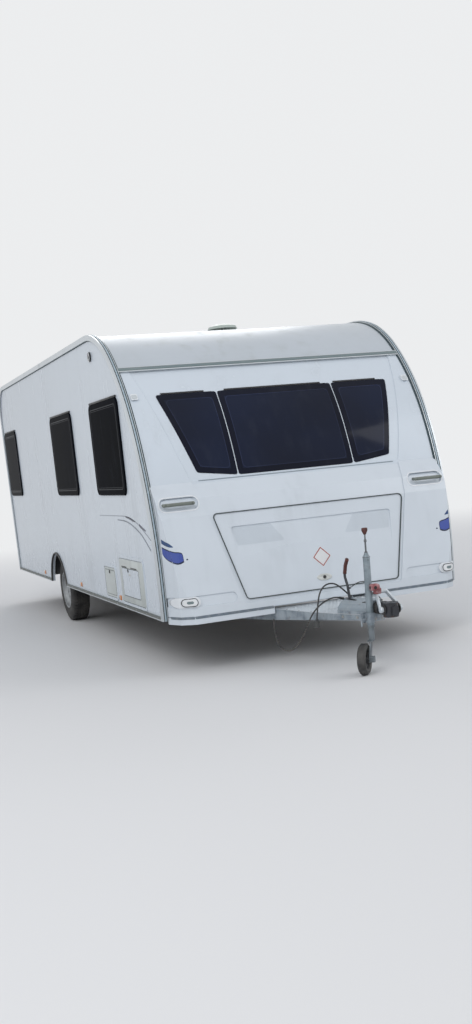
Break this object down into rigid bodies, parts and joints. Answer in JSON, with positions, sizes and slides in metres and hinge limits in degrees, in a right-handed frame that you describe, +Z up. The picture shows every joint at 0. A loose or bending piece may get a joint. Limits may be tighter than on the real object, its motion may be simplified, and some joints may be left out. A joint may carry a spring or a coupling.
{
  "type": "touring caravan",
  "caption": "Single-axle touring caravan with a sloping nose, dark windows, front gas locker, drawbar, ball coupling and jockey wheel.",
  "frame": {"origin": "on the floor, below the middle of the whole caravan", "axes": "+Z up, +Y towards the rear, +X towards the entrance door's side"},
  "size_m": [2.481, 7.562, 2.6597],
  "materials": {
    "body_white": "semi-gloss white sheet",
    "moulded_white": "gloss white moulded plastic",
    "tinted_acrylic": "dark tinted double acrylic",
    "rail_aluminium": "extruded aluminium with a dark insert",
    "galvanised_steel": "hot-dip galvanised",
    "dark_steel": "black painted steel",
    "coupling_steel": "grey painted casting",
    "black_plastic": "matt black moulded",
    "black_rubber": "moulded rubber",
    "tyre_rubber": "road tyre",
    "rim_silver": "silver painted steel",
    "lens_clear": "clear lens",
    "lens_red": "red lens",
    "handle_grey": "grey moulded",
    "faded_red": "faded red plastic",
    "tread_plate": "raised tread pattern",
    "cover_grey": "moulded grey",
    "cable_black": "black sheathed cable",
    "floor_ply": "bonded plywood"
  },
  "bodies": {
    "caravan_body": {"front_panel": "body_white", "roof_panel": "body_white", "rear_panel": "body_white", "side_wall_offside": "body_white", "side_wall_nearside": "body_white", "floor_panel": "floor_ply", "wheel_boxes": "black_plastic", "front_moulding": "moulded_white", "locker_tub": "floor_ply", "front_windows": "tinted_acrylic", "rear_window": "tinted_acrylic", "windows_offside": "tinted_acrylic", "windows_nearside": "tinted_acrylic", "roof_lights": "tinted_acrylic", "mushroom_vent": "moulded_white", "fridge_vents": "moulded_white", "flue_vent": "black_plastic", "corner_rails": "rail_aluminium", "side_skirts": "rail_aluminium", "front_lamps": "lens_clear", "rear_lamps": "lens_red", "grab_handles": "handle_grey", "chassis_rails": "galvanised_steel", "step_plate": "tread_plate", "drawbar": "galvanised_steel", "axle_tube": "galvanised_steel", "suspension_arms": "galvanised_steel", "overrun_housing": "galvanised_steel", "housing_cover": "cover_grey", "bellows": "black_rubber", "coupling_head": "coupling_steel", "coupling_handle": "coupling_steel", "friction_pads": "black_plastic", "handbrake_lever": "dark_steel", "supply_cable": "cable_black", "supply_plug": "cover_grey", "chassis_cable": "cable_black", "breakaway_cable": "cable_black", "jockey_clamp": "galvanised_steel", "jockey_outer_tube": "galvanised_steel", "jockey_crank": "faded_red", "steady_brackets": "galvanised_steel"},
    "wheel_offside": {"rim_offside": "rim_silver", "tyre_offside": "tyre_rubber"},
    "wheel_nearside": {"rim_nearside": "rim_silver", "tyre_nearside": "tyre_rubber"},
    "jockey_leg": {"jockey_inner_tube": "galvanised_steel"},
    "jockey_castor": {"jockey_fork": "galvanised_steel"},
    "jockey_roller": {"jockey_wheel": "black_rubber"},
    "locker_lid": {"locker_lid": "moulded_white"},
    "service_hatch": {"service_hatch": "moulded_white"},
    "battery_hatch": {"battery_hatch": "moulded_white"},
    "entrance_door": {"door_leaf": "body_white", "door_window": "tinted_acrylic", "door_handle": "black_plastic"},
    "steady_front_offside": {"steady_front_offside": "galvanised_steel"},
    "steady_front_nearside": {"steady_front_nearside": "galvanised_steel"},
    "steady_rear_offside": {"steady_rear_offside": "galvanised_steel"},
    "steady_rear_nearside": {"steady_rear_nearside": "galvanised_steel"}
  },
  "joints": [
    {"name": "wheel_spin_offside", "type": "hinge", "parent": "caravan_body", "child": "wheel_offside", "pos_m": [-1.068, 1.31, 0.325], "axis": [1, 0, 0], "continuous": true},
    {"name": "wheel_spin_nearside", "type": "hinge", "parent": "caravan_body", "child": "wheel_nearside", "pos_m": [1.068, 1.31, 0.325], "axis": [1, 0, 0], "continuous": true},
    {"name": "jockey_lift", "type": "slide", "parent": "caravan_body", "child": "jockey_leg", "axis": [0, 0, 1], "range_m": [-0.15, 0.085]},
    {"name": "jockey_castor_turn", "type": "hinge", "parent": "jockey_leg", "child": "jockey_castor", "pos_m": [-0.076, -3.54, 0.2], "axis": [0, 0, 1], "continuous": true},
    {"name": "jockey_wheel_spin", "type": "hinge", "parent": "jockey_castor", "child": "jockey_roller", "pos_m": [-0.1494, -3.5554, 0.108], "axis": [0.7513, -0.66, 0], "continuous": true},
    {"name": "locker_lid_lift", "type": "hinge", "parent": "caravan_body", "child": "locker_lid", "pos_m": [0, -2.528, 1.1375], "axis": [-1, 0, 0], "range_deg": [0, 80]},
    {"name": "service_hatch_lift", "type": "hinge", "parent": "caravan_body", "child": "service_hatch", "pos_m": [-1.219, -1.7, 0.811], "axis": [0, 1, 0], "range_deg": [0, 110]},
    {"name": "battery_hatch_lift", "type": "hinge", "parent": "caravan_body", "child": "battery_hatch", "pos_m": [-1.219, -0.98, 0.711], "axis": [0, 1, 0], "range_deg": [0, 110]},
    {"name": "door_swing", "type": "hinge", "parent": "caravan_body", "child": "entrance_door", "pos_m": [1.227, -0.038, 1.4], "axis": [0, 0, -1], "range_deg": [0, 150]},
    {"name": "steady_front_offside_drop", "type": "hinge", "parent": "caravan_body", "child": "steady_front_offside", "pos_m": [-0.8, -1.33, 0.4], "axis": [1, 0, 0], "range_deg": [0, 58]},
    {"name": "steady_front_nearside_drop", "type": "hinge", "parent": "caravan_body", "child": "steady_front_nearside", "pos_m": [0.8, -1.33, 0.4], "axis": [1, 0, 0], "range_deg": [0, 58]},
    {"name": "steady_rear_offside_drop", "type": "hinge", "parent": "caravan_body", "child": "steady_rear_offside", "pos_m": [-0.8, 2.67, 0.4], "axis": [-1, 0, 0], "range_deg": [0, 58]},
    {"name": "steady_rear_nearside_drop", "type": "hinge", "parent": "caravan_body", "child": "steady_rear_nearside", "pos_m": [0.8, 2.67, 0.4], "axis": [-1, 0, 0], "range_deg": [0, 58]}
  ]
}
